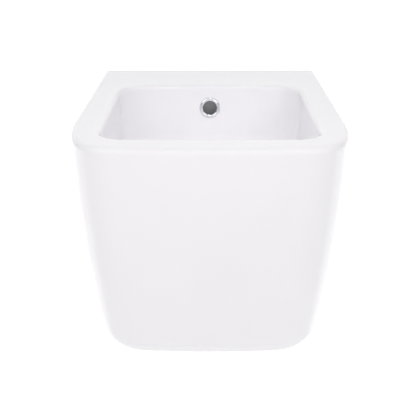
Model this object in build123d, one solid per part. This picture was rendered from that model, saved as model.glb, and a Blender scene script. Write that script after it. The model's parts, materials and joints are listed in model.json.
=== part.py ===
from build123d import *
import os
from math import cos, pi, radians, sin, sqrt, tan

# Wall-hung bidet with its overflow, click waste, bottle trap and wall studs.
# Millimetres. The origin lies on the wall, midway between the two studs.
# +Z is up, the bowl reaches out along -Y, and +X is to the right of someone facing the wall.

os.makedirs("parts", exist_ok=True)

# Outer body
body_width = 360.0
body_depth = 500.0
body_height = 296.0
stud_drop = 75.0
side_arc = 3000.0
front_arc = 1100.0
front_bow = 950.0
corner_width_top = 62.0
corner_width_base = 82.0
corner_depth_top = 141.0
corner_depth_base = 223.0
corner_fullness = 0.67
deck_edge_radius = 8.0
base_edge_radius = 30.0
back_edge_radius = 2.5
wall = 12.0
deck_thickness = 14.0
base_thickness = 12.0
base_lip = 48.0
back_wall = 20.0
back_land = 64.0
back_panel_drop = 112.0

# Basin
back_deck = 137.0
front_rim = 52.0
side_rim = 42.5
back_corner_width = 56.0
back_corner_depth = 46.0
front_corner = 33.0
low_corner_gain = 32.0
basin_corner_fullness = 0.58
basin_draft = 3.5
rim_radius = 6.0
drain_depth = 114.0
drain_from_back = 85.0
floor_arc = 900.0
floor_radius = 42.0
floor_reserve = 10.0

# Overflow
overflow_drop = 34.0
overflow_bore = 25.0
channel_width = 50.0
channel_gap = 14.0
channel_wall = 9.0
channel_rise = 20.0
channel_bend = 30.0
ring_outer = 32.0
ring_bore = 21.0
ring_lip = 2.6
spigot_wall = 1.4
spigot_length = 15.0
spigot_slot = 2.0
spigot_split = 5.0

# Waste outlet of the ceramic
boss_radius = 45.0
boss_height = 40.0
drain_bore = 46.0
recess_radius = 33.5
recess_depth = 4.5

# Click waste
flange_radius = 31.5
flange_thickness = 3.0
flange_edge = 1.0
flange_bevel = 2.5
waste_radius = 20.95
waste_wall = 2.4
waste_length = 69.0
funnel_radius = 24.0
funnel_depth = 9.0
waste_lead = 0.6
top_seal_thickness = 2.0
overflow_slots = 4
slot_width = 14.0
slot_height = 15.0
slot_lift = 2.0
lower_gasket_radius = 30.0
lower_gasket_thickness = 5.0
gasket_bevel = 2.0
slip_washer_thickness = 1.5
back_nut_flats = 52.0
back_nut_height = 8.0
spider_height = 6.0
spider_arm = 6.0
hub_radius = 7.0
post_radius = 4.0
post_tail = 2.0

# Plug and its click cartridge
cap_radius = 30.0
cap_thickness = 4.0
cap_crown = 150.0
cap_edge_radius = 0.4
plug_travel = 9.0
cap_seat_gap = 0.4
cap_boss_radius = 6.5
cap_boss_height = 6.0
seal_seat_radius = 15.0
seal_radius = 22.2
seal_thickness = 3.0
cartridge_radius = 7.5
cartridge_bore = 6.2
cartridge_height = 30.0
cartridge_floor = 2.0
cartridge_cap_height = 4.0
stem_radius = 3.9
guide_radius = 2.4
collar_radius = 5.9
collar_thickness = 2.0
stem_tail = 12.0
stem_thread = 5.0
rotor_height = 5.0
rotor_teeth = 6
tooth_depth = 1.4
tooth_width = 2.2
rotor_step = 0.2
spring_wire = 1.0
spring_radius = 4.4
spring_turns = 7.0

# Bottle trap
trap_wall = 2.6
trap_nut_radius = 26.0
trap_nut_height = 24.0
trap_nut_lip = 2.5
nut_ribs = 12
rib_depth = 1.6
rib_share = 0.45
rib_end = 1.5
flat_seal_thickness = 3.0
dip_radius = 14.5
dip_wall = 1.5
dip_collar_thickness = 2.0
neck_flange_radius = 20.5
neck_flange_thickness = 2.5
neck_radius = 17.2
neck_length = 4.5
bottle_radius = 33.0
shoulder_drop = 9.0
shoulder_step = 6.0
shoulder_dip = 1.0
shoulder_wall = 4.0
outlet_drop = 22.0
branch_radius = 20.95
branch_reach = 60.0
seal_depth = 50.0
cup_clearance = 8.0
cup_collar_radius = 38.5
cup_collar_height = 15.0
cup_overlap = 12.0
cup_drop = 3.0
cup_foot_radius = 14.0
cup_ribs = 24
cup_seal_thickness = 2.0

# Outlet pipe
pipe_radius = 16.0
pipe_bore = 14.0
pipe_into_trap = 26.0
pipe_into_wall = 45.0
outlet_nut_height = 20.0
cone_seal_thickness = 4.0
cone_bevel = 1.0
rosette_radius = 36.0
rosette_height = 7.0
rosette_collar = 5.0
rosette_edge = 2.0
rosette_sheet = 1.2

# Wall studs
stud_spacing = 180.0
stud_radius = 6.0
stud_pitch_radius = 5.43
stud_step = 1.5
stud_out = 48.0
stud_in_wall = 60.0
stud_lead = 1.0
stud_hole = 11.0
sleeve_short = 2.0
sleeve_flange_radius = 17.0
sleeve_flange_thickness = 3.0
washer_radius = 15.0
washer_thickness = 2.5
stud_nut_flats = 18.0
stud_nut_height = 10.8
nut_turn = 0.3
nut_turn_angle = 30.0

# Clearances
running_gap = 0.08
loose_gap = 0.3
thread_gap = 0.1
sleeve_gap = 0.15
seat_gap = 0.05

# How far a cutting shape runs past what it cuts
past = 1.0

# Places worked out from the sizes above
deck_z = stud_drop
base_z = deck_z - body_height
basin_back = -back_deck
basin_front = -(body_depth - front_rim)
basin_half = body_width / 2 - side_rim
basin_draft_slope = tan(radians(basin_draft))
drain_y = basin_back - drain_from_back
drain = Pos(0, drain_y, 0)
drain_z = deck_z - drain_depth
overflow_z = deck_z - overflow_drop
overflow_seat = Pos(0, basin_back - basin_draft_slope * overflow_drop, overflow_z)
overflow_seat *= Rot(90 - basin_draft, 0, 0)
recess_z = drain_z - recess_depth
boss_z = drain_z - boss_height
flange_z = recess_z + top_seal_thickness
flange_top = flange_z + flange_thickness
waste_end = flange_z - waste_length
gasket_z = boss_z - lower_gasket_thickness
slip_z = gasket_z - slip_washer_thickness
back_nut_z = slip_z - back_nut_height
spider_z = boss_z - spider_height
housing_z = boss_z
housing_top = housing_z + cartridge_height
cap_z = flange_top + cap_seat_gap + plug_travel
collar_z = housing_top - loose_gap - collar_thickness
neck_top = waste_end - flat_seal_thickness - dip_collar_thickness
shoulder_z = neck_top - neck_flange_thickness - neck_length
outlet_z = shoulder_z - outlet_drop
dip_end = outlet_z - pipe_bore - seal_depth
cup_z = dip_end - cup_clearance - trap_wall
cup_top = outlet_z - branch_radius - cup_drop
bottle_end = cup_top - cup_overlap
branch_end = drain_y + branch_reach
slot_z = boss_z + channel_wall + slot_lift
sleeve_face = -back_wall - sleeve_flange_thickness
washer_face = sleeve_face - washer_thickness


def write(name, shape):
    """Write one named piece as a STEP file."""
    shape.label = name
    export_step(shape, f"parts/{name}.step")


def disc(radius, height, z=0.0):
    """Upright cylinder whose foot is at z."""
    return Pos(0, 0, z) * Cylinder(radius, height, align=(Align.CENTER, Align.CENTER, Align.MIN))


def tube(outer, inner, height, z=0.0):
    """Upright tube whose foot is at z."""
    return disc(outer, height, z) - disc(inner, height + 2 * past, z - past)


def rod_y(radius, start, end, x=0.0, z=0.0):
    """Cylinder along Y between two places."""
    length = abs(end - start)
    place = Pos(x, (start + end) / 2, z) * Rot(90, 0, 0)
    return place * Cylinder(radius, length)


def block(x0, x1, y0, y1, z0, z1):
    """Box given by its limits."""
    size = Box(x1 - x0, y1 - y0, z1 - z0)
    return Pos((x0 + x1) / 2, (y0 + y1) / 2, (z0 + z1) / 2) * size


def spin(points):
    """Solid of revolution about Z from a closed outline of (radius, z) points."""
    outline = Polyline([(r, 0, z) for r, z in points], close=True)
    return revolve(make_face(outline), Axis.Z)


def hex_nut(flats, height, bore, z=0.0):
    """Hexagon nut with both ends turned down at the corners."""
    corners = flats / sqrt(3)
    body = extrude(RegularPolygon(corners, 6), height)
    land = flats / 2 - nut_turn
    slope = corners - land
    rise = slope * tan(radians(nut_turn_angle))
    cone = spin([(0, 0), (land, 0), (corners, rise), (corners, height - rise), (land, height), (0, height)])
    return Pos(0, 0, z) * ((body & cone) - disc(bore, height + 2 * past, -past))


def ribbed_nut(radius, bore, lip_bore, height, lip, z=0.0):
    """Round hand nut with grip ribs and an inner lip at its foot."""
    shell = disc(radius - rib_depth, height, 0)
    bar = 2 * pi * radius / nut_ribs * rib_share
    for turn in range(nut_ribs):
        rib = block(0, radius, -bar / 2, bar / 2, rib_end, height - rib_end)
        shell += Rot(0, 0, 360 / nut_ribs * turn) * rib
    shell = shell & disc(radius, height, 0)
    shell -= disc(bore, height, lip)
    shell -= disc(lip_bore, lip + 2 * past, -past)
    return Pos(0, 0, z) * shell


def skin_section(depth, inset=0.0):
    """Plan of the outer body at a depth below the deck, a little past the wall, drawn in by inset."""
    drop = max(depth - deck_edge_radius, 0.0)
    share = depth / body_height
    half = body_width / 2 - (side_arc - sqrt(side_arc**2 - drop**2)) - inset
    reach = body_depth - (front_arc - sqrt(front_arc**2 - drop**2)) - inset
    corner_x = corner_width_top + (corner_width_base - corner_width_top) * share - inset
    corner_y = corner_depth_top + (corner_depth_base - corner_depth_top) * share - inset
    bow = front_bow - inset
    end_x = half - corner_x
    rise = sqrt(bow**2 - end_x**2)
    end_y = bow - reach - rise
    lean = Vector(rise, end_x) * (corner_fullness * corner_x / bow)
    corner = [(half, end_y + corner_y), (half, end_y + corner_y * (1 - corner_fullness)),
              (end_x + lean.X, end_y + lean.Y), (end_x, end_y)]
    mirrored = [(-x, y) for x, y in reversed(corner)]
    edges = [Line((-half, past), (half, past)), Line((half, past), corner[0]), Bezier(*corner),
             ThreePointArc(corner[-1], (0, -reach), mirrored[0]), Bezier(*mirrored),
             Line(mirrored[-1], (-half, past))]
    return Pos(0, 0, deck_z - depth) * make_face(edges)


def skin_form(top, bottom, inset=0.0, levels=6):
    """Loft of the outer body between two depths."""
    step = (bottom - top) / (levels - 1)
    return loft([skin_section(top + step * level, inset) for level in range(levels)])


def rim_edges(solid, z):
    """Edges of the skin that lie at height z, without the one on the wall."""
    flat = solid.edges().filter_by_position(Axis.Z, z - 0.01, z + 0.01)
    return [edge for edge in flat if edge.center().Y < -1]


def basin_section(depth, grow=0.0):
    """Plan of the basin at a depth below the deck, let out by grow on every side."""
    pull = basin_draft_slope * depth - grow
    gain = low_corner_gain * max(depth, 0.0) / drain_depth + grow
    half = basin_half - pull
    back = basin_back - pull
    front = basin_front + pull
    bx, by = back_corner_width + gain, back_corner_depth + gain
    fx, fy = front_corner + gain, front_corner + gain
    k = 1 - basin_corner_fullness
    back_arc = [(half - bx, back), (half - bx * k, back), (half, back - by * k), (half, back - by)]
    front_arc_points = [(half, front + fy), (half, front + fy * k), (half - fx * k, front),
                        (half - fx, front)]
    left_front = [(-x, y) for x, y in reversed(front_arc_points)]
    left_back = [(-x, y) for x, y in reversed(back_arc)]
    edges = [Bezier(*back_arc), Line(back_arc[-1], front_arc_points[0]), Bezier(*front_arc_points),
             Line(front_arc_points[-1], left_front[0]), Bezier(*left_front),
             Line(left_front[-1], left_back[0]), Bezier(*left_back), Line(left_back[-1], back_arc[0])]
    return Pos(0, 0, deck_z - depth) * make_face(edges)


def basin_form(top, grow=0.0, levels=5):
    """Basin hollow, or its outer shell when let out by grow, with a dished floor."""
    bottom = drain_depth + grow + floor_reserve
    step = (bottom - top) / (levels - 1)
    bowl = loft([basin_section(top + step * level, grow) for level in range(levels)])
    dish = Pos(0, drain_y, drain_z + floor_arc) * Rot(90, 0, 0) * Sphere(floor_arc + grow)
    bowl = bowl & dish
    floor = bowl.faces().filter_by(GeomType.SPHERE)[0]
    return fillet(floor.edges(), floor_radius + grow)


def channel_form(grow=0.0):
    """Overflow passage behind and under the basin, let out by grow for its walls."""
    back = basin_back + wall + channel_gap + grow
    top = overflow_z + channel_rise + grow
    low = boss_z + channel_wall - grow
    outline = Polyline((drain_y, low), (back, low), (back, top), (drain_y, top), close=True)
    side = Plane.YZ * make_face(outline)
    bar = extrude(side, channel_width / 2 + grow, both=True)
    corner = [edge for edge in bar.edges().filter_by(Axis.X)
              if abs(edge.center().Y - back) < 0.1 and edge.center().Z < 0]
    return fillet(corner, channel_bend + grow)


def ceramic_shell():
    """The cast shell: deck with its rim, skirt, foot lip and back wall."""
    skin = skin_form(0, body_height)
    skin -= block(-body_width, body_width, 0, 2 * past, base_z - past, deck_z + past)
    skin = fillet(rim_edges(skin, deck_z), deck_edge_radius)
    skin = fillet(rim_edges(skin, base_z), base_edge_radius)
    back_face = skin.faces().sort_by(Axis.Y)[-1]
    skin = fillet(back_face.edges(), back_edge_radius)

    hollow = skin_form(deck_thickness, body_height - base_thickness, wall)
    low_edges = rim_edges(hollow, base_z + base_thickness)
    hollow = fillet(low_edges, base_edge_radius - base_thickness)
    hollow -= block(-body_width, body_width, -back_wall, 2 * past, base_z, deck_z)

    gap_half = body_width / 2 - back_land
    gap = block(-gap_half, gap_half, -back_wall - past, past, base_z - past, deck_z - back_panel_drop)
    foot = skin_form(body_height - base_thickness - past, body_height + past, base_lip, 2)
    foot = foot & block(-gap_half, gap_half, -body_depth, past, base_z - 2 * past, 0)

    shell = skin - hollow
    shell -= gap
    shell -= foot
    shell -= basin_form(-rim_radius)
    for side in (-1, 1):
        shell -= rod_y(stud_hole, -back_wall - past, past, x=side * stud_spacing / 2)
    deck = shell.faces().filter_by(Axis.Z).sort_by(Axis.Z)[-1]
    return fillet(deck.inner_wires()[0].edges(), rim_radius)


def ceramic_bowl():
    """The cast bowl stuck under the deck: basin, overflow passage and waste boss."""
    bowl = basin_form(deck_thickness / 2, wall)
    bowl += channel_form(channel_wall)
    bowl += drain * disc(boss_radius, boss_height + wall, boss_z)
    bowl = bowl & block(-body_width, body_width, -body_depth, 0, base_z, deck_z - deck_thickness)
    bowl -= basin_form(-rim_radius)
    bowl -= channel_form() - basin_form(deck_thickness / 2, wall)
    bowl -= drain * disc(drain_bore / 2, boss_height + 2 * past, boss_z - past)
    bowl -= drain * disc(recess_radius, 2 * recess_depth, recess_z)
    return bowl - overflow_seat * disc(overflow_bore / 2, wall + channel_gap, -wall - channel_gap / 2)


def overflow_ring():
    """Pushed-in ring of the overflow: a rounded lip and a spigot through the wall."""
    bore = ring_bore / 2
    outer = ring_outer / 2
    spigot = overflow_bore / 2 - sleeve_gap
    neck = spigot - spigot_wall
    foot = -spigot_length
    edges = [Polyline((neck, 0, foot), (spigot, 0, foot), (spigot, 0, seat_gap),
                      (outer, 0, seat_gap), (outer, 0, ring_lip * 0.35)),
             ThreePointArc((outer, 0, ring_lip * 0.35), (outer - ring_lip * 0.55, 0, ring_lip * 0.86),
                           ((outer + bore) / 2, 0, ring_lip)),
             ThreePointArc(((outer + bore) / 2, 0, ring_lip), (bore + ring_lip * 0.4, 0, ring_lip * 0.86),
                           (bore, 0, ring_lip * 0.2)),
             Polyline((bore, 0, ring_lip * 0.2), (bore, 0, -ring_lip), (neck, 0, -2 * ring_lip),
                      (neck, 0, foot))]
    ring = revolve(make_face(edges), Axis.Z)
    slot = block(-spigot_slot / 2, spigot_slot / 2, -outer, outer, foot - past, foot + spigot_split)
    return overflow_seat * (ring - slot - Rot(0, 0, 90) * slot)


def waste_body():
    """Flanged and threaded waste with overflow windows and a cross bar for the cartridge."""
    bore = waste_radius - waste_wall
    body = spin([(bore, waste_end), (waste_radius - waste_lead, waste_end),
                 (waste_radius, waste_end + waste_lead), (waste_radius, flange_z), (flange_radius, flange_z),
                 (flange_radius, flange_z + flange_edge),
                 (flange_radius - flange_bevel, flange_top), (funnel_radius, flange_top),
                 (bore, flange_top - funnel_depth)])
    for turn in range(overflow_slots):
        window = block(0, waste_radius + past, -slot_width / 2, slot_width / 2, 0, slot_height)
        body -= Pos(0, 0, slot_z) * Rot(0, 0, 360 / overflow_slots * turn) * window
    for turn in range(2):
        arm = block(-bore - past, bore + past, -spider_arm / 2, spider_arm / 2, spider_z, housing_z)
        body += Rot(0, 0, 90 * turn) * arm
    body += disc(hub_radius, spider_height, spider_z)
    body -= disc(post_radius + thread_gap, spider_height + 2 * past, spider_z - past)
    return drain * body


def plug_cap():
    """Domed cap with a raised seat for its seal and a threaded boss for the stem."""
    crown = Pos(0, 0, cap_z + cap_thickness - cap_crown) * Rot(90, 0, 0) * Sphere(cap_crown)
    cap = disc(cap_radius, cap_thickness, cap_z) & crown
    cap = fillet(cap.edges().filter_by(GeomType.CIRCLE), cap_edge_radius)
    cap += disc(seal_seat_radius, seal_thickness, cap_z - seal_thickness)
    cap += disc(cap_boss_radius, cap_boss_height, cap_z - cap_boss_height)
    return drain * (cap - disc(stem_radius + thread_gap, cap_boss_height, cap_z - cap_boss_height))


def plug_stem():
    """Rod from the cap down into the cartridge, with the collar that the spring lifts."""
    top = cap_z - cap_boss_height + stem_thread
    stem = disc(stem_radius, top - collar_z, collar_z)
    stem += disc(collar_radius, collar_thickness, collar_z)
    stem += disc(guide_radius, stem_tail, collar_z - stem_tail)
    return drain * stem


def latch_rotor():
    """Toothed ring under the collar that turns a step at each press."""
    top = collar_z - seat_gap
    ring = tube(collar_radius - rotor_step, guide_radius + running_gap, rotor_height, top - rotor_height)
    for tooth in range(rotor_teeth):
        cut = Pos(collar_radius, 0, top) * Rot(0, 45, 0) * Box(tooth_depth, tooth_width, tooth_depth)
        ring -= Rot(0, 0, 360 / rotor_teeth * tooth) * cut
    return drain * ring


def coil(radius, wire, turns, foot, top):
    """Open coil spring: tangent arcs, two to each quarter turn, and a round wire along them."""
    pitch = (top - foot - wire) / turns
    climb = pitch / (2 * pi)
    speed = sqrt(radius**2 + climb**2)

    def place(angle):
        return Vector(radius * cos(angle), radius * sin(angle), foot + wire / 2 + climb * angle)

    def heading(angle):
        return Vector(-radius * sin(angle), radius * cos(angle), climb) / speed

    arcs = []
    steps = round(turns * 4)
    for step in range(steps):
        a, b = step * pi / 2, (step + 1) * pi / 2
        start, end, out, back = place(a), place(b), heading(a), heading(b)
        chord, both = end - start, out + back
        lead, weight = chord.dot(both), 4 - both.dot(both)
        reach = (sqrt(lead**2 + weight * chord.dot(chord)) - lead) / weight
        corner_a, corner_b = start + out * reach, end - back * reach
        middle = (corner_a + corner_b) / 2
        arcs += [TangentArc(start, middle, tangent=out),
                 TangentArc(middle, end, tangent=corner_b - corner_a)]
    print("spring gap", round(pitch * radius / speed - wire, 2), "mm over", turns, "turns")
    section = Plane(origin=place(0), z_dir=heading(0)) * Circle(wire / 2)
    return sweep(section, path=Wire(arcs))


def cartridge_spring():
    """Spring between the floor of the cartridge and the rotor."""
    foot = housing_z + cartridge_floor + seat_gap
    top = collar_z - rotor_height - 2 * seat_gap
    return drain * coil(spring_radius, spring_wire, spring_turns, foot, top)


def cartridge_housing():
    """Cup that holds the spring and screws into the cross bar of the waste."""
    cup = disc(cartridge_radius, cartridge_height, housing_z)
    cup -= disc(cartridge_bore, cartridge_height, housing_z + cartridge_floor)
    return drain * (cup + disc(post_radius, spider_height + post_tail, spider_z - post_tail))


def bottle_body():
    """Upper half of the trap: flanged neck, sloping shoulder, side branch and open foot."""
    inner = bottle_radius - trap_wall
    bore = dip_radius + loose_gap
    low = shoulder_z - shoulder_drop
    flange_foot = neck_top - neck_flange_thickness
    body = spin([(bore, neck_top), (neck_flange_radius, neck_top), (neck_flange_radius, flange_foot),
                 (neck_radius, flange_foot), (neck_radius, shoulder_z),
                 (neck_radius + shoulder_step, shoulder_z - shoulder_dip), (bottle_radius, low),
                 (bottle_radius, bottle_end), (inner, bottle_end), (inner, low),
                 (neck_radius + shoulder_dip, shoulder_z - shoulder_wall),
                 (bore, shoulder_z - shoulder_wall)])
    root = dip_radius + trap_wall
    branch = rod_y(branch_radius, root, branch_reach, z=outlet_z)
    branch -= disc(inner, 2 * branch_radius + 2 * past, outlet_z - branch_radius - past)
    body += branch
    body -= rod_y(pipe_bore, root, branch_reach + past, z=outlet_z)
    body -= rod_y(pipe_radius + loose_gap, branch_reach - pipe_into_trap, branch_reach + past, z=outlet_z)
    return drain * body


def trap_cup():
    """Screw-off cup that holds the water seal, with a ribbed collar."""
    outer = bottle_radius
    inner = bottle_radius - trap_wall
    ledge = bottle_end - cup_seal_thickness
    foot = cup_z + cup_foot_radius
    bend = cup_foot_radius - trap_wall
    low = cup_top - cup_collar_height
    swing = cup_foot_radius * (1 - sqrt(0.5))
    swing_in = bend * (1 - sqrt(0.5))
    collar = cup_collar_radius - rib_depth
    edges = [Line((0, 0, cup_z), (outer - cup_foot_radius, 0, cup_z)),
             ThreePointArc((outer - cup_foot_radius, 0, cup_z), (outer - swing, 0, cup_z + swing),
                           (outer, 0, foot)),
             Polyline((outer, 0, foot), (outer, 0, low), (collar, 0, low), (collar, 0, cup_top),
                      (outer + thread_gap, 0, cup_top), (outer + thread_gap, 0, ledge),
                      (inner, 0, ledge), (inner, 0, foot)),
             ThreePointArc((inner, 0, foot), (inner - swing_in, 0, cup_z + trap_wall + swing_in),
                           (inner - bend, 0, cup_z + trap_wall)),
             Polyline((inner - bend, 0, cup_z + trap_wall), (0, 0, cup_z + trap_wall), (0, 0, cup_z))]
    cup = revolve(make_face(edges), Axis.Z)
    bar = 2 * pi * collar / cup_ribs * rib_share
    for turn in range(cup_ribs):
        rib = block(outer + rib_depth, cup_collar_radius, -bar / 2, bar / 2, low + rib_end, cup_top - rib_end)
        cup += Rot(0, 0, 360 / cup_ribs * turn) * rib
    return drain * cup


def wall_rosette():
    """Dished cover of the hole in the wall round the outlet pipe."""
    bore = pipe_radius + loose_gap
    high = rosette_height
    low = high - rosette_collar
    edge = rosette_radius - rosette_edge
    dish = spin([(bore, high), (bore + rosette_edge, high), (bore + 2 * rosette_edge, low + rosette_sheet),
                 (edge, rosette_edge), (rosette_radius, 0), (edge, 0), (bore + rosette_edge, low),
                 (bore, low)])
    return Pos(0, 0, outlet_z) * Rot(90, 0, 0) * dish


def stud_group(make):
    """The same piece at both studs, as one group of separate solids."""
    return Compound([Pos(side * stud_spacing / 2, 0, 0) * make() for side in (-1, 1)])


def wall_stud():
    """Stud that the wall frame holds: full thread radius in the wall, pitch radius under the nut."""
    stud = rod_y(stud_radius, -stud_step, stud_in_wall)
    stud += rod_y(stud_pitch_radius, -stud_out, -stud_step)
    circles = stud.edges().filter_by(GeomType.CIRCLE).sort_by(Axis.Y)
    return chamfer([circles[0], circles[-1]], stud_lead)


def stud_sleeve():
    """Plastic sleeve that keeps the stud off the fired wall."""
    shell = rod_y(stud_hole - sleeve_gap, -back_wall, -sleeve_short)
    shell += rod_y(sleeve_flange_radius, sleeve_face, -back_wall)
    return shell - rod_y(stud_radius + loose_gap, sleeve_face - past, past)


def stud_washer():
    """Flat steel washer."""
    ring = rod_y(washer_radius, washer_face, sleeve_face)
    return ring - rod_y(stud_radius + loose_gap, washer_face - past, sleeve_face + past)


def stud_nut():
    """Nut that draws the ceramic to the wall."""
    nut = hex_nut(stud_nut_flats, stud_nut_height, stud_pitch_radius + thread_gap)
    return Pos(0, washer_face, 0) * Rot(90, 0, 0) * nut


waste_hole = waste_radius + loose_gap
gasket = spin([(waste_hole, gasket_z), (lower_gasket_radius, gasket_z),
               (lower_gasket_radius, boss_z - gasket_bevel), (lower_gasket_radius - gasket_bevel, boss_z),
               (waste_hole, boss_z)])
inlet_nut_z = neck_top - neck_flange_thickness - trap_nut_lip
outlet_nut = ribbed_nut(trap_nut_radius, branch_radius + thread_gap, pipe_radius + loose_gap,
                        outlet_nut_height, trap_nut_lip)
cone_seal = spin([(pipe_radius + seat_gap, 0), (branch_radius - cone_bevel, 0), (branch_radius, cone_bevel),
                  (branch_radius, cone_seal_thickness), (pipe_radius + seat_gap, cone_seal_thickness)])
branch_face = Pos(0, branch_end, outlet_z) * Rot(90, 0, 0)
outlet_pipe = rod_y(pipe_radius, branch_end - pipe_into_trap, pipe_into_wall, z=outlet_z)
outlet_pipe -= rod_y(pipe_bore, branch_end - pipe_into_trap - past, pipe_into_wall + past, z=outlet_z)

pieces = {
    "ceramic_shell": ceramic_shell(),
    "ceramic_bowl": ceramic_bowl(),
    "overflow_ring": overflow_ring(),
    "waste_body": waste_body(),
    "waste_top_seal": drain * tube(flange_radius - flange_edge, waste_hole, top_seal_thickness, recess_z),
    "waste_lower_gasket": drain * gasket,
    "waste_slip_washer": drain * tube(lower_gasket_radius, waste_hole, slip_washer_thickness, slip_z),
    "waste_back_nut": drain * hex_nut(back_nut_flats, back_nut_height, waste_radius + thread_gap, back_nut_z),
    "plug_cap": plug_cap(),
    "plug_seal": drain * tube(seal_radius, seal_seat_radius + seat_gap, seal_thickness,
                              cap_z - seal_thickness),
    "plug_stem": plug_stem(),
    "latch_rotor": latch_rotor(),
    "cartridge_spring": cartridge_spring(),
    "cartridge_housing": cartridge_housing(),
    "cartridge_cap": drain * tube(cartridge_radius, stem_radius + running_gap, cartridge_cap_height,
                                  housing_top),
    "trap_inlet_nut": drain * ribbed_nut(trap_nut_radius, waste_radius + thread_gap,
                                         neck_radius + loose_gap, trap_nut_height, trap_nut_lip,
                                         inlet_nut_z),
    "trap_inlet_seal": drain * tube(neck_flange_radius, dip_radius, flat_seal_thickness,
                                    waste_end - flat_seal_thickness),
    "trap_dip_tube": drain * (tube(neck_flange_radius, dip_radius - dip_wall, dip_collar_thickness, neck_top)
                              + tube(dip_radius, dip_radius - dip_wall, neck_top - dip_end, dip_end)),
    "trap_body": bottle_body(),
    "trap_cup": trap_cup(),
    "trap_cup_seal": drain * tube(bottle_radius, bottle_radius - trap_wall, cup_seal_thickness,
                                  bottle_end - cup_seal_thickness),
    "trap_outlet_nut": Pos(0, cone_seal_thickness + trap_nut_lip, 0) * branch_face * outlet_nut,
    "trap_outlet_seal": Pos(0, cone_seal_thickness, 0) * branch_face * cone_seal,
    "outlet_pipe": outlet_pipe,
    "wall_rosette": wall_rosette(),
    "wall_studs": stud_group(wall_stud),
    "stud_sleeves": stud_group(stud_sleeve),
    "stud_washers": stud_group(stud_washer),
    "stud_nuts": stud_group(stud_nut),
}
for name, shape in pieces.items():
    write(name, shape)
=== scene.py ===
import json
from math import cos, pi, radians, sin

import bpy
import numpy as np
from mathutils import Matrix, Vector


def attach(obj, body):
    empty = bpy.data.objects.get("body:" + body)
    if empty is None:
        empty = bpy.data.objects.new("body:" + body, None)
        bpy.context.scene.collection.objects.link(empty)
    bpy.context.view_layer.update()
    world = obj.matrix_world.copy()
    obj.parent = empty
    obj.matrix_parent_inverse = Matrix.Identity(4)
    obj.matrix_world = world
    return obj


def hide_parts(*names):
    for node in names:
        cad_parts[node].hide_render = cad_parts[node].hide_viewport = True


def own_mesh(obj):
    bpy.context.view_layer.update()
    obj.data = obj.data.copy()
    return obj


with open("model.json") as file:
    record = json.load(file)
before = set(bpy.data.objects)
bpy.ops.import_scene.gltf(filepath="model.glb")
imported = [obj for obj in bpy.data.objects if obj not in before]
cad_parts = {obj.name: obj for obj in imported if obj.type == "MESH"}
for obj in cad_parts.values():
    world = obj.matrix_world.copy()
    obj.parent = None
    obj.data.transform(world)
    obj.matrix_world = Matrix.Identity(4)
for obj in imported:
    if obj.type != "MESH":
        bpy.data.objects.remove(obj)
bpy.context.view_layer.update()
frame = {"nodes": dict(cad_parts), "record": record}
nodes = frame["nodes"]

# Finishes: arithmetic on sockets


class Flow:
    """A value that runs through a finish. Sums and products of it add Math nodes."""

    def __init__(self, finish, socket):
        self.finish, self.socket = finish, socket

    def math(self, operation, other):
        """One Math node of that operation on this value and the other."""
        return self.finish.node("Math", {"operation": operation}, {0: self, 1: other})

    def __add__(self, other):
        return self.math("ADD", other)

    def __mul__(self, other):
        return self.math("MULTIPLY", other)

    __radd__, __rmul__ = __add__, __mul__


class Finish:
    """A procedural surface on object coordinates, built from named node types."""

    def __init__(self, name, **constants):
        self.material = bpy.data.materials.new(name)
        self.material.use_nodes = True
        self.tree = self.material.node_tree
        self.shader = self.tree.nodes["Principled BSDF"]
        for socket, value in constants.items():
            self.shader.inputs[socket.replace("_", " ")].default_value = value
        self.place = self.node("TexCoord", out="Object")

    def node(self, kind, settings=None, sockets=None, out=0):
        """Adds a node: its settings first, then the values or links of its sockets."""
        made = self.tree.nodes.new("ShaderNode" + kind)
        for key, value in (settings or {}).items():
            setattr(made, key, value)
        for key, value in (sockets or {}).items():
            self.feed(made.inputs[key], value)
        return Flow(self, made.outputs[out])

    def feed(self, socket, value):
        """Links a flow to a socket, or sets the socket to a plain value."""
        if isinstance(value, Flow):
            self.tree.links.new(value.socket, socket)
        elif isinstance(value, tuple) and len(value) == 3 and socket.type == "RGBA":
            socket.default_value = (*value, 1.0)
        else:
            socket.default_value = value

    def noise(self, scale, detail=2.0, roughness=0.5, where=None, distortion=0.0):
        """Soft noise from 0 to 1; scale is in cells to a metre."""
        sockets = {"Vector": where or self.place, "Scale": scale, "Detail": detail,
                   "Roughness": roughness, "Distortion": distortion}
        return self.node("TexNoise", sockets=sockets)

    def cells(self, scale, out="Distance"):
        """Voronoi cells; scale is in cells to a metre."""
        return self.node("TexVoronoi", sockets={"Vector": self.place, "Scale": scale}, out=out)

    def stretched(self, stretch):
        """Object coordinates stretched along each axis."""
        return self.node("Mapping", sockets={"Vector": self.place, "Scale": stretch})

    def axis(self, name):
        """One of the object coordinates, in metres."""
        return self.node("SeparateXYZ", sockets={0: self.place}, out=name)

    def step(self, value, low, high, start=0.0, end=1.0):
        """Smooth step of a flow from start at low to end at high."""
        return self.node("MapRange", {"interpolation_type": "SMOOTHSTEP"},
                         {0: value, 1: low, 2: high, 3: start, 4: end})

    def blend(self, share, first, second):
        """Mix of two colours."""
        return self.node("Mix", {"data_type": "RGBA"}, {0: share, 6: first, 7: second}, 2)

    def relief(self, height, depth, over=None):
        """Bump of that depth in metres, on top of another where one is given."""
        sockets = {"Height": height, "Distance": depth, "Strength": 1.0}
        if over is not None:
            sockets["Normal"] = over
        return self.node("Bump", sockets=sockets)

    def give(self, colour=None, roughness=None, normal=None, **others):
        """Links the parts of the finish that vary over the surface."""
        parts = {"Base Color": colour, "Roughness": roughness, "Normal": normal, **others}
        for socket, value in parts.items():
            if value is not None:
                self.feed(self.shader.inputs[socket.replace("_", " ")], value)
        return self.material


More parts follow.
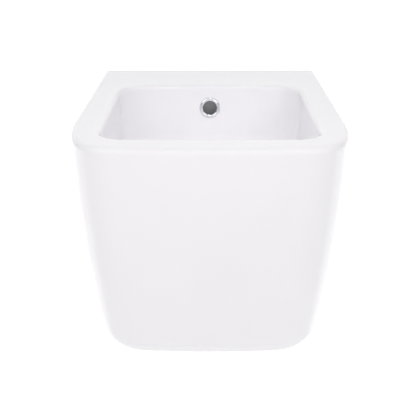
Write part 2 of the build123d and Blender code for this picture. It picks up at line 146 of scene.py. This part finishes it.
def glazed_china():
    """White sanitary glaze: cool white, a slow waviness, fine orange peel and rare pinholes."""
    f = Finish("glazed_china", Coat_Weight=0.25, Coat_Roughness=0.03, Specular_IOR_Level=0.12)
    drift = f.noise(7.0, 3.0)
    white = f.blend(f.step(drift, 0.3, 0.7), (0.926, 0.911, 0.939), (0.942, 0.927, 0.954))
    pinholes = f.step(f.cells(55.0), 0.012, 0.02)
    warm = f.step(f.noise(900.0, 2.0), 0.3, 0.7)
    dry = f.blend(warm, (0.70, 0.66, 0.60), (0.79, 0.75, 0.69))
    back = f.step(f.axis("Y") + f.noise(160.0) * 0.0012, -0.0022, -0.0012)
    colour = f.blend(back, f.blend(pinholes, (0.66, 0.63, 0.60), white), dry)
    roughness = f.step(f.noise(14.0, 4.0), 0.25, 0.75, 0.075, 0.13) + back * 0.7
    waviness = f.noise(11.0, 1.0)
    peel = f.noise(210.0, 2.0)
    normal = f.relief(peel, 0.00003, f.relief(waviness, 0.00025))
    normal = f.relief(f.noise(1500.0) * back + pinholes * 0.3, 0.00012, normal)
    return f.give(colour, roughness, normal)


def chrome_plate():
    """Bright chrome over polished brass: faint polishing swirls, water marks and wiped smudges."""
    f = Finish("chrome_plate", Metallic=1.0)
    marks = f.step(f.noise(95.0, 4.0, 0.6), 0.56, 0.70)
    colour = f.blend(marks, (0.80, 0.81, 0.83), (0.72, 0.73, 0.75))
    swirl = f.noise(650.0, 2.0, where=f.stretched((1.0, 0.25, 1.0)))
    roughness = f.step(f.noise(60.0, 3.0), 0.3, 0.7, 0.035, 0.09) + marks * 0.06
    normal = f.relief(swirl, 0.000006, f.relief(f.noise(40.0, 1.0), 0.00002))
    return f.give(colour, roughness, normal)


def black_rubber():
    """Moulded rubber: matt, with bloom and a fine grain."""
    f = Finish("black_rubber", IOR=1.48)
    bloom = f.step(f.noise(70.0, 4.0), 0.4, 0.75)
    colour = f.blend(bloom, (0.014, 0.014, 0.015), (0.045, 0.045, 0.048))
    roughness = f.step(f.noise(260.0), 0.3, 0.7, 0.52, 0.72)
    normal = f.relief(f.noise(2600.0, 2.0), 0.00004, f.relief(f.noise(300.0), 0.00008))
    return f.give(colour, roughness, normal)


def turned_brass():
    """Machined brass: tool rings along the axis, with brown tarnish in patches."""
    f = Finish("turned_brass", Metallic=1.0)
    tarnish = f.step(f.noise(120.0, 4.0, 0.6), 0.42, 0.72)
    colour = f.blend(tarnish, (0.78, 0.57, 0.27), (0.47, 0.30, 0.13))
    rings = f.node("TexWave", {"bands_direction": "Z"},
                   {"Vector": f.place, "Scale": 520.0, "Distortion": 0.6, "Detail": 2.0}, "Fac")
    roughness = f.step(f.noise(240.0, 3.0), 0.3, 0.7, 0.22, 0.36) + tarnish * 0.16
    return f.give(colour, roughness, f.relief(rings, 0.00002, f.relief(f.noise(900.0), 0.00002)))


def grey_acetal():
    """Moulded grey acetal: flow marks and a waxy, lightly grained skin."""
    f = Finish("grey_acetal", IOR=1.48)
    flow = f.step(f.noise(70.0, 3.0, where=f.stretched((1.0, 1.0, 0.3))), 0.35, 0.7)
    colour = f.blend(flow, (0.245, 0.252, 0.262), (0.305, 0.312, 0.322))
    roughness = f.step(f.noise(420.0), 0.3, 0.7, 0.34, 0.48)
    normal = f.relief(f.noise(3000.0), 0.00002, f.relief(f.noise(220.0), 0.00006))
    return f.give(colour, roughness, normal)


def drawn_wire():
    """Drawn stainless wire: dull bright, with faint heat tint and draw marks."""
    f = Finish("drawn_wire", Metallic=1.0)
    tint = f.step(f.noise(260.0, 3.0), 0.45, 0.75)
    colour = f.blend(tint, (0.55, 0.55, 0.56), (0.50, 0.45, 0.38))
    roughness = f.step(f.noise(1800.0, 3.0), 0.3, 0.7, 0.2, 0.34)
    return f.give(colour, roughness, f.relief(f.noise(4200.0, 2.0), 0.00001))


def white_polypropylene():
    """Moulded polypropylene: warm white, waxy sheen, flow marks and a fine spark grain."""
    f = Finish("white_polypropylene", IOR=1.49, Subsurface_Weight=0.12, Subsurface_Scale=0.002)
    flow = f.step(f.noise(26.0, 3.0, distortion=0.8), 0.3, 0.7)
    colour = f.blend(flow, (0.79, 0.785, 0.755), (0.835, 0.83, 0.80))
    roughness = f.step(f.noise(150.0, 3.0), 0.3, 0.7, 0.26, 0.40)
    normal = f.relief(f.noise(1700.0, 2.0), 0.00002, f.relief(f.noise(60.0), 0.00010))
    return f.give(colour, roughness, normal)


def zinc_plate():
    """Zinc-plated steel: crystal spangle with a faint blue and straw passivation."""
    f = Finish("zinc_plate", Metallic=1.0)
    pick = f.node("SeparateColor", sockets={0: f.cells(420.0, "Color")})
    colour = f.blend(pick, (0.56, 0.58, 0.60), (0.66, 0.66, 0.63))
    colour = f.blend(f.step(f.noise(90.0, 2.0), 0.5, 0.75), colour, (0.58, 0.60, 0.66))
    roughness = pick * 0.1 + f.step(f.noise(300.0), 0.3, 0.7, 0.25, 0.36)
    return f.give(colour, roughness, f.relief(f.noise(1400.0, 3.0), 0.00002))


finishes = {
    "china": glazed_china(),
    "chrome": chrome_plate(),
    "black_rubber": black_rubber(),
    "brass": turned_brass(),
    "grey_plastic": grey_acetal(),
    "spring_steel": drawn_wire(),
    "white_plastic": white_polypropylene(),
    "zinc_steel": zinc_plate(),
}
slot_of = {part["node"]: part["material_slot"] for part in frame["record"]["subparts"]}
for name, slot in slot_of.items():
    nodes[name].data.materials.clear()
    nodes[name].data.materials.append(finishes[slot])


# Shapes with more detail than the solids

scene = bpy.context.scene


def mesh_piece(name, points, faces, smooth, finish):
    """A mesh object at the origin, from rows of points, lists of faces and which of them are smooth."""
    mesh = bpy.data.meshes.new(name)
    mesh.from_pydata(points.tolist(), [], faces)
    mesh.polygons.foreach_set("use_smooth", smooth)
    mesh.materials.append(finish)
    mesh.update()
    made = bpy.data.objects.new(name, mesh)
    scene.collection.objects.link(made)
    return made


def grid_piece(name, points, slot):
    """A piece of the bidet from a grid of points, rows along it and columns around it.

    Each row is joined to the next by quads, and the last column to the first. Each end is shut by a
    fan of triangles to the middle of its row.
    """
    rows, columns = points.shape[:2]
    index = np.arange(rows * columns).reshape(rows, columns)
    after = np.roll(index, -1, axis=1)
    quads = np.stack([index[:-1], after[:-1], after[1:], index[1:]], axis=-1).reshape(-1, 4)
    first, last = rows * columns, rows * columns + 1
    fans = np.concatenate([np.stack([after[0], index[0], np.full(columns, first)], axis=-1),
                           np.stack([index[-1], after[-1], np.full(columns, last)], axis=-1)])
    middles = np.stack([points[0].mean(axis=0), points[-1].mean(axis=0)])
    made = mesh_piece(name, np.concatenate([points.reshape(-1, 3), middles]), quads.tolist() + fans.tolist(),
                      [True] * len(quads) + [False] * len(fans), finishes[slot])
    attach(made, "bidet")
    return made


# Sizes of the studs and the spring, in metres
stud_x = 0.09
stud_start, stud_end = -0.048, 0.060
thread_pitch = 0.00175
thread_crest, thread_root = 0.006, 0.00493
thread_lead = 0.001
ridge_slope, ridge_sink = 1.25, 0.0625
stud_columns, rows_a_pitch = 40, 8
drain_y = -0.222
coil_radius, wire_radius = 0.0044, 0.0005
coil_turns, closed_turn, closed_rise = 9.0, 0.85, 0.00105
coil_foot, coil_top = -0.07695, -0.0564
wire_columns, rows_a_turn = 14, 36


def threaded_stud(name, x):
    """M12 stud along Y at that x.

    Radius over length v and angle u: a triangle wave of v / pitch - u / turn, clipped flat at the root
    and the crest. Within the lead of each end the radius is no more than the way to the end allows.
    """
    rows = 1 + round((stud_end - stud_start) / thread_pitch * rows_a_pitch)
    v = np.linspace(stud_start, stud_end, rows)[:, None]
    u = np.linspace(0.0, 2 * pi, stud_columns, endpoint=False)[None, :]
    wave = (v / thread_pitch - u / (2 * pi)) % 1.0
    ridge = np.clip(ridge_slope * (1 - np.abs(2 * wave - 1)) - ridge_sink, 0.0, 1.0)
    to_end = np.minimum(v - stud_start, stud_end - v)
    radius = np.minimum(thread_root + (thread_crest - thread_root) * ridge, thread_crest - thread_lead + to_end)
    points = np.stack(np.broadcast_arrays(x + radius * np.sin(u), v, radius * np.cos(u)), axis=-1)
    piece = grid_piece(name, points, "zinc_steel")
    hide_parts("wall_studs")


def coil_spring(name):
    """Coil spring on the waste's axis, with closed ends.

    The centre line winds round the axis, climbs slowly in the first and last turn and evenly in
    between. Each row is a circle of the wire across the way that the line runs.
    """
    angle = np.linspace(0.0, 2 * pi * coil_turns, round(coil_turns * rows_a_turn) + 1)
    turn = angle / (2 * pi)
    open_share = np.clip((turn - closed_turn) / (coil_turns - 2 * closed_turn), 0.0, 1.0)
    low_end = np.clip(turn / closed_turn, 0.0, 1.0)
    high_end = np.clip((turn - coil_turns + closed_turn) / closed_turn, 0.0, 1.0)
    open_rise = coil_top - coil_foot - 2 * wire_radius - 2 * closed_rise
    rise = closed_rise * (low_end + high_end) + open_share * open_rise
    line = np.stack([coil_radius * np.cos(angle), coil_radius * np.sin(angle), rise], axis=-1)
    along = np.gradient(line, axis=0)
    along /= np.linalg.norm(along, axis=1, keepdims=True)
    outward = np.stack([np.cos(angle), np.sin(angle), np.zeros_like(angle)], axis=-1)
    across = np.cross(along, outward)
    u = np.linspace(0.0, 2 * pi, wire_columns, endpoint=False)[None, :, None]
    points = line[:, None] + wire_radius * (outward[:, None] * np.cos(u) + across[:, None] * np.sin(u))
    points += np.array([0.0, drain_y, coil_foot + wire_radius])
    piece = grid_piece(name, points, "spring_steel")
    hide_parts("cartridge_spring")
    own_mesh(piece)


threaded_stud("left_wall_stud", -stud_x)
threaded_stud("right_wall_stud", stud_x)
coil_spring("plug_spring")


# The studio: the camera fitted to the photograph, in pixels, degrees and metres

camera_focal = 835.6
camera_pitch = 20.117
camera_height = 0.343
camera_back = 1.432
frame_pixels = 420
sensor = 36.0
centre_pixel = 209.85

# The sheet: painted glow, it emits light behind the object, less in front of it and less again high up
floor_z = -0.62
sheet_half, sheet_near, sheet_far, sheet_bend, sheet_rise = 6.0, -6.0, 4.0, 1.5, 5.0
bend_steps = 24
glow_behind, glow_front, glow_high_share = 0.85, 0.32, 0.36
front_end, behind_start = -0.25, 0.0
glow_low, glow_high = -0.25, 0.1
tone_front, tone_low, tone_high = (0.88,) * 3, (0.90,) * 3, (0.92,) * 3

# Surroundings: darker where a direction points more to the sides
sky, side_sky = 0.64, 0.30
sideways_start, sideways_end = 0.35, 0.95

# Soft boxes: place, aim, width, height, power in watts and spread
rim_box = (0.0, -0.75, 0.75), (0.0, -0.45, 0.0), 0.7, 0.2, 0.72, pi
basin_box = (0.0, -0.29, 0.6), (0.0, -0.29, 0.0), 0.2, 0.24, 0.10, radians(14)
front_aim = (0.0, -0.3, 0.0)
front_turn, front_rise, front_reach = radians(46), radians(36), 1.9
front_width, front_height, front_power = 1.2, 1.0, 6.5


def studio_floor():
    """One pale sheet: flat floor that curves up into a far backdrop, with a painted glow from its emission."""
    f = Finish("studio_paper", Roughness=0.9, Emission_Strength=1.0)
    y, z = f.axis("Y"), f.axis("Z")
    # Painted glow: the sheet emits light, strongest behind the object, dimmer in front and high up
    glow = f.step(y, front_end, behind_start, glow_front, glow_behind)
    glow = glow * f.step(z, glow_low, glow_high, 1.0, glow_high_share)
    tone = f.blend(f.step(y, front_end, behind_start), tone_front, f.blend(f.noise(3.0), tone_low, tone_high))
    painted_glow_colour = f.blend(glow, (0.0, 0.0, 0.0), (1.0, 1.0, 1.0))
    f.give(tone, None, f.relief(f.noise(400.0), 0.0001), Emission_Color=painted_glow_colour)
    turn = np.linspace(0.0, pi / 2, bend_steps)
    y = np.concatenate([[sheet_near], sheet_far + sheet_bend * np.sin(turn), [sheet_far + sheet_bend]])
    z = np.concatenate([[0.0], sheet_bend * (1 - np.cos(turn)), [sheet_rise]]) + floor_z
    x = np.array([-sheet_half, sheet_half])
    points = np.stack(np.broadcast_arrays(x[None, :], y[:, None], z[:, None]), axis=-1).reshape(-1, 3)
    row = np.arange(len(y) - 1) * 2
    faces = np.stack([row, row + 1, row + 3, row + 2], axis=1).tolist()
    mesh_piece("studio_sheet", points, faces, [True] * len(faces), f.material)


def soft_light(name, place, aim, width, height, power, spread):
    """A rectangular soft box that faces its aim."""
    light = bpy.data.lights.new(name, "AREA")
    light.shape, light.size, light.size_y = "RECTANGLE", width, height
    light.energy, light.spread = power, spread
    lamp = bpy.data.objects.new(name, light)
    scene.collection.objects.link(lamp)
    lamp.location = place
    lamp.rotation_euler = (Vector(aim) - Vector(place)).to_track_quat("-Z", "Y").to_euler()


def photo_camera():
    """Camera at the photograph's place."""
    lens = bpy.data.cameras.new("photo_camera")
    lens.sensor_width, lens.lens = sensor, sensor * camera_focal / frame_pixels
    lens.shift_x = (frame_pixels / 2 - centre_pixel) / frame_pixels
    view = bpy.data.objects.new("photo_camera", lens)
    view.location = (0.0, -camera_back, camera_height)
    view.rotation_euler = (radians(90 - camera_pitch), 0.0, 0.0)
    scene.collection.objects.link(view)
    scene.camera = view


def surroundings():
    """White surroundings whose strength falls off to both sides."""
    world = bpy.data.worlds.new("white_studio")
    world.use_nodes = True
    scene.world = world
    tree = world.node_tree
    steps = [tree.nodes.new("ShaderNode" + kind) for kind in ("TexCoord", "SeparateXYZ", "Math", "MapRange")]
    where, split, sideways, strength = steps
    background = tree.nodes["Background"]
    sideways.operation = "ABSOLUTE"
    limits = {"From Min": sideways_start, "From Max": sideways_end, "To Min": sky, "To Max": side_sky}
    for socket, value in limits.items():
        strength.inputs[socket].default_value = value
    tree.links.new(where.outputs["Generated"], split.inputs[0])
    tree.links.new(split.outputs["X"], sideways.inputs[0])
    tree.links.new(sideways.outputs[0], strength.inputs["Value"])
    tree.links.new(strength.outputs[0], background.inputs["Strength"])
    background.inputs["Color"].default_value = (1.0, 1.0, 1.0, 1.0)


studio_floor()
photo_camera()
surroundings()
scene.view_settings.view_transform = "Standard"
soft_light("rim_box", *rim_box)
soft_light("basin_box", *basin_box)
for side, name in ((-1, "left_box"), (1, "right_box")):
    level = front_reach * cos(front_rise)
    back = front_aim[1] - level * cos(front_turn)
    place = (side * level * sin(front_turn), back, front_reach * sin(front_rise))
    soft_light(name, place, front_aim, front_width, front_height, front_power, pi)
